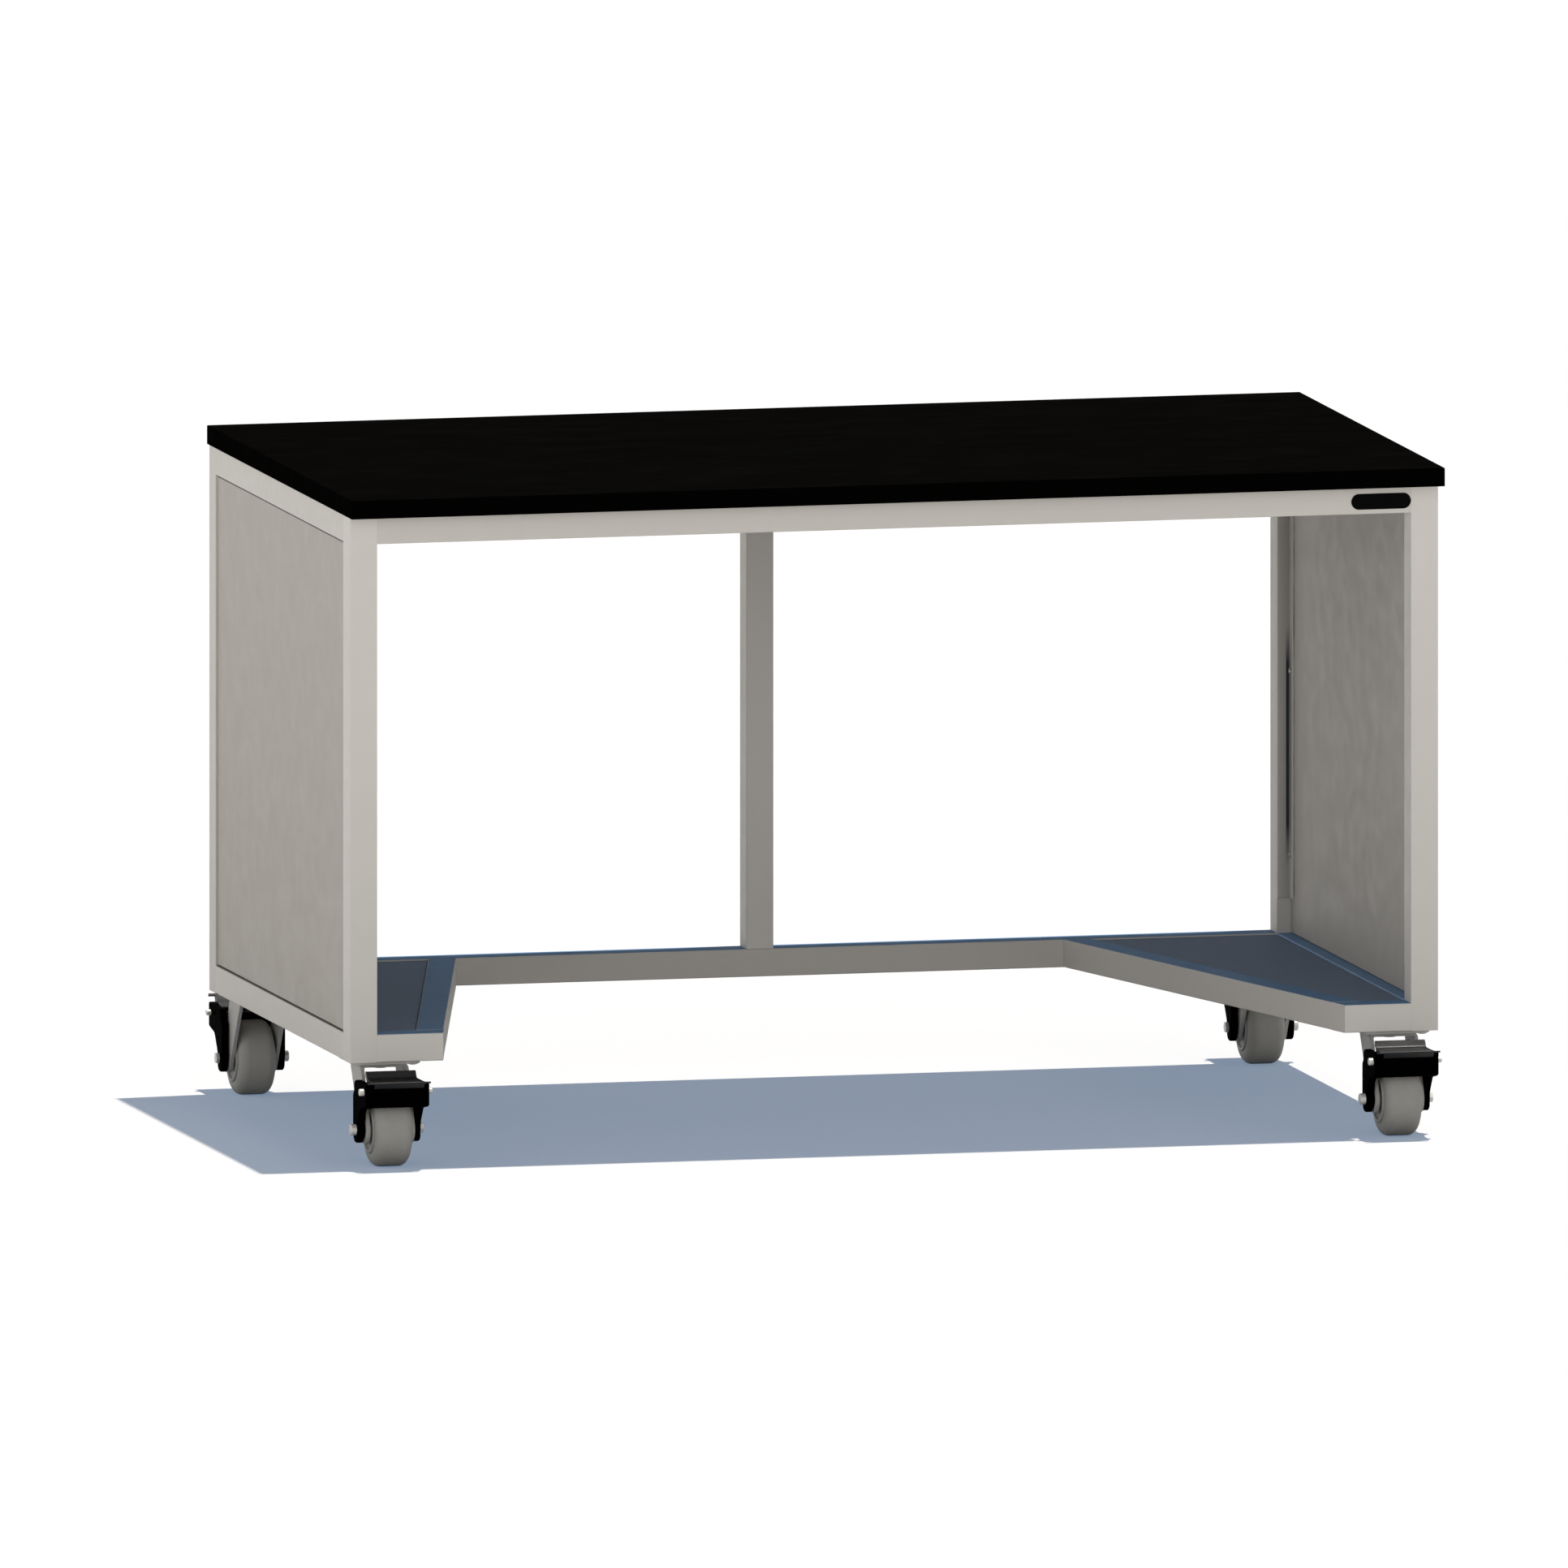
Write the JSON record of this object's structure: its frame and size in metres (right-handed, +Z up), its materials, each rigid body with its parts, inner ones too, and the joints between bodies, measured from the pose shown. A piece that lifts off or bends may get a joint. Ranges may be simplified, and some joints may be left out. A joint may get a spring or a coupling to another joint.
{
  "type": "mobile laboratory bench",
  "caption": "Mobile laboratory bench: black slab worktop on a welded square-tube frame with recessed side panels, open knee space and braked swivel casters.",
  "frame": {"origin": "on the floor under the middle of the welded frame", "axes": "+Z up, +X along the bench to the right as seen from the open front, -Y towards the user"},
  "size_m": [1.524, 0.9308, 0.9144],
  "materials": {
    "worktop_slab": "black resin slab, smooth satin",
    "frame_paint": "beige powder coat, fine texture",
    "deck_paint": "slate blue powder coat",
    "side_board": "board faced in beige laminate",
    "badge_black": "bare black plate",
    "screw_steel": "zinc plated",
    "caster_steel": "satin zinc",
    "plated_steel": "bright zinc",
    "brake_black": "moulded black, satin",
    "tyre_grey": "grey non-marking tread",
    "hub_grey": "grey moulded core"
  },
  "bodies": {
    "bench": {"worktop": "worktop_slab", "front_top_rail": "frame_paint", "rear_top_rail": "frame_paint", "left_top_rail": "frame_paint", "right_top_rail": "frame_paint", "front_left_post": "frame_paint", "front_right_post": "frame_paint", "rear_left_post": "frame_paint", "rear_right_post": "frame_paint", "centre_rear_post": "frame_paint", "left_bottom_rail": "frame_paint", "right_bottom_rail": "frame_paint", "rear_bottom_rail": "frame_paint", "left_foot_rail": "frame_paint", "right_foot_rail": "frame_paint", "left_diagonal_rail": "frame_paint", "right_diagonal_rail": "frame_paint", "left_panel_angles": "frame_paint", "right_panel_angles": "frame_paint", "caster_pads": "frame_paint", "left_deck": "deck_paint", "right_deck": "deck_paint", "left_side_panel": "side_board", "right_side_panel": "side_board", "badge_plate": "badge_black", "worktop_screws": "screw_steel", "panel_screws": "screw_steel", "caster_bolts": "screw_steel", "front_left_top_plate": "caster_steel", "front_left_kingpin": "caster_steel", "front_right_top_plate": "caster_steel", "front_right_kingpin": "caster_steel", "rear_left_top_plate": "caster_steel", "rear_left_kingpin": "caster_steel", "rear_right_top_plate": "caster_steel", "rear_right_kingpin": "caster_steel"},
    "front_left_yoke": {"front_left_fork": "caster_steel", "front_left_axle": "plated_steel", "front_left_brake_housing": "brake_black"},
    "front_left_wheel": {"front_left_tyre": "tyre_grey", "front_left_hub": "hub_grey"},
    "front_left_pedal": {"front_left_brake_pedal": "brake_black"},
    "front_right_yoke": {"front_right_fork": "caster_steel", "front_right_axle": "plated_steel", "front_right_brake_housing": "brake_black"},
    "front_right_wheel": {"front_right_tyre": "tyre_grey", "front_right_hub": "hub_grey"},
    "front_right_pedal": {"front_right_brake_pedal": "brake_black"},
    "rear_left_yoke": {"rear_left_fork": "caster_steel", "rear_left_axle": "plated_steel", "rear_left_brake_housing": "brake_black"},
    "rear_left_wheel": {"rear_left_tyre": "tyre_grey", "rear_left_hub": "hub_grey"},
    "rear_left_pedal": {"rear_left_brake_pedal": "brake_black"},
    "rear_right_yoke": {"rear_right_fork": "caster_steel", "rear_right_axle": "plated_steel", "rear_right_brake_housing": "brake_black"},
    "rear_right_wheel": {"rear_right_tyre": "tyre_grey", "rear_right_hub": "hub_grey"},
    "rear_right_pedal": {"rear_right_brake_pedal": "brake_black"}
  },
  "joints": [
    {"name": "front_left_swivel", "type": "hinge", "parent": "bench", "child": "front_left_yoke", "pos_m": [-0.70352, -0.3484, 0.1382], "axis": [0, 0, 1], "continuous": true},
    {"name": "front_left_roll", "type": "hinge", "parent": "front_left_yoke", "child": "front_left_wheel", "pos_m": [-0.70352, -0.3956, 0.0508], "axis": [1, 0, 0], "continuous": true},
    {"name": "front_left_brake", "type": "hinge", "parent": "front_left_yoke", "child": "front_left_pedal", "pos_m": [-0.70352, -0.4421, 0.1075], "axis": [-1, 0, 0], "range_deg": [0, 20]},
    {"name": "front_right_swivel", "type": "hinge", "parent": "bench", "child": "front_right_yoke", "pos_m": [0.70352, -0.3484, 0.1382], "axis": [0, 0, 1], "continuous": true},
    {"name": "front_right_roll", "type": "hinge", "parent": "front_right_yoke", "child": "front_right_wheel", "pos_m": [0.70352, -0.3956, 0.0508], "axis": [1, 0, 0], "continuous": true},
    {"name": "front_right_brake", "type": "hinge", "parent": "front_right_yoke", "child": "front_right_pedal", "pos_m": [0.70352, -0.4421, 0.1075], "axis": [-1, 0, 0], "range_deg": [0, 20]},
    {"name": "rear_left_swivel", "type": "hinge", "parent": "bench", "child": "rear_left_yoke", "pos_m": [-0.70352, 0.3484, 0.1382], "axis": [0, 0, 1], "continuous": true},
    {"name": "rear_left_roll", "type": "hinge", "parent": "rear_left_yoke", "child": "rear_left_wheel", "pos_m": [-0.70352, 0.3956, 0.0508], "axis": [1, 0, 0], "continuous": true},
    {"name": "rear_left_brake", "type": "hinge", "parent": "rear_left_yoke", "child": "rear_left_pedal", "pos_m": [-0.70352, 0.4421, 0.1075], "axis": [1, 0, 0], "range_deg": [-20, 0]},
    {"name": "rear_right_swivel", "type": "hinge", "parent": "bench", "child": "rear_right_yoke", "pos_m": [0.70352, 0.3484, 0.1382], "axis": [0, 0, 1], "continuous": true},
    {"name": "rear_right_roll", "type": "hinge", "parent": "rear_right_yoke", "child": "rear_right_wheel", "pos_m": [0.70352, 0.3956, 0.0508], "axis": [1, 0, 0], "continuous": true},
    {"name": "rear_right_brake", "type": "hinge", "parent": "rear_right_yoke", "child": "rear_right_pedal", "pos_m": [0.70352, 0.4421, 0.1075], "axis": [1, 0, 0], "range_deg": [-20, 0]}
  ]
}
